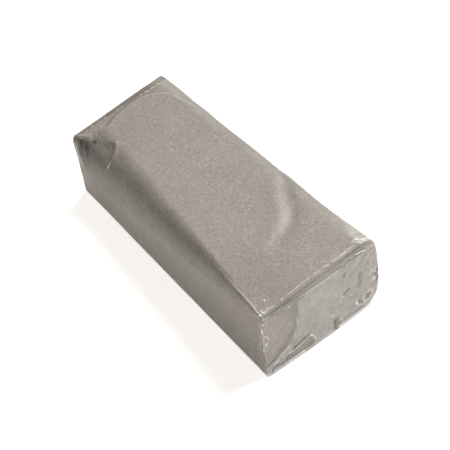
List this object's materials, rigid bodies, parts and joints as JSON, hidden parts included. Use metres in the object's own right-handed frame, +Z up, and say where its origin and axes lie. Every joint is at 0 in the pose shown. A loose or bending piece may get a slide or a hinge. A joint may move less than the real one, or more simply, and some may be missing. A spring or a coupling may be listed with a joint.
{
  "type": "clay bar",
  "caption": "Grey detailing clay block in a folded clear film wrap, with a worn long edge and parcel-folded ends that open on their creases.",
  "frame": {"origin": "centre of the rectangle that the bar rests on, which is the bottom centre of its bounding box", "axes": "+X along the length, towards the end called near; +Y towards the right side, so the worn long edge is on the -Y side; +Z up"},
  "size_m": [0.104, 0.04, 0.029],
  "materials": {
    "clay": "matt, finely speckled putty",
    "film": "clear cellulose film, creased, half clinging to the clay"
  },
  "bodies": {
    "bar": {"clay_block": "clay", "film_top_panel": "film", "film_left_panel": "film", "film_right_panel": "film", "film_inner_lap": "film", "film_outer_lap": "film"},
    "near_left_tuck": {"near_left_tuck": "film"},
    "near_right_tuck": {"near_right_tuck": "film"},
    "near_top_flap": {"near_top_flap": "film"},
    "near_bottom_flap": {"near_bottom_flap": "film"},
    "far_left_tuck": {"far_left_tuck": "film"},
    "far_right_tuck": {"far_right_tuck": "film"},
    "far_top_flap": {"far_top_flap": "film"},
    "far_bottom_flap": {"far_bottom_flap": "film"}
  },
  "joints": [
    {"name": "near_bottom_crease", "type": "hinge", "parent": "bar", "child": "near_bottom_flap", "pos_m": [0.052, 0, 0], "axis": [0, 1, 0], "range_deg": [0, 90]},
    {"name": "near_top_crease", "type": "hinge", "parent": "bar", "child": "near_top_flap", "pos_m": [0.0515, 0, 0.029], "axis": [0, -1, 0], "range_deg": [0, 90]},
    {"name": "near_left_crease", "type": "hinge", "parent": "bar", "child": "near_left_tuck", "pos_m": [0.051, -0.02, 0.0145], "axis": [0, 0, -1], "range_deg": [0, 90]},
    {"name": "near_right_crease", "type": "hinge", "parent": "bar", "child": "near_right_tuck", "pos_m": [0.051, 0.02, 0.0145], "axis": [0, 0, 1], "range_deg": [0, 90]},
    {"name": "far_bottom_crease", "type": "hinge", "parent": "bar", "child": "far_bottom_flap", "pos_m": [-0.052, 0, 0], "axis": [0, -1, 0], "range_deg": [0, 90]},
    {"name": "far_top_crease", "type": "hinge", "parent": "bar", "child": "far_top_flap", "pos_m": [-0.0515, 0, 0.029], "axis": [0, 1, 0], "range_deg": [0, 90]},
    {"name": "far_left_crease", "type": "hinge", "parent": "bar", "child": "far_left_tuck", "pos_m": [-0.051, -0.02, 0.0145], "axis": [0, 0, 1], "range_deg": [0, 90]},
    {"name": "far_right_crease", "type": "hinge", "parent": "bar", "child": "far_right_tuck", "pos_m": [-0.051, 0.02, 0.0145], "axis": [0, 0, -1], "range_deg": [0, 90]}
  ],
  "couplings": [
    {"joint": "near_top_crease", "follows": "near_bottom_crease", "ratio": 1},
    {"joint": "far_top_crease", "follows": "far_bottom_crease", "ratio": 1}
  ]
}
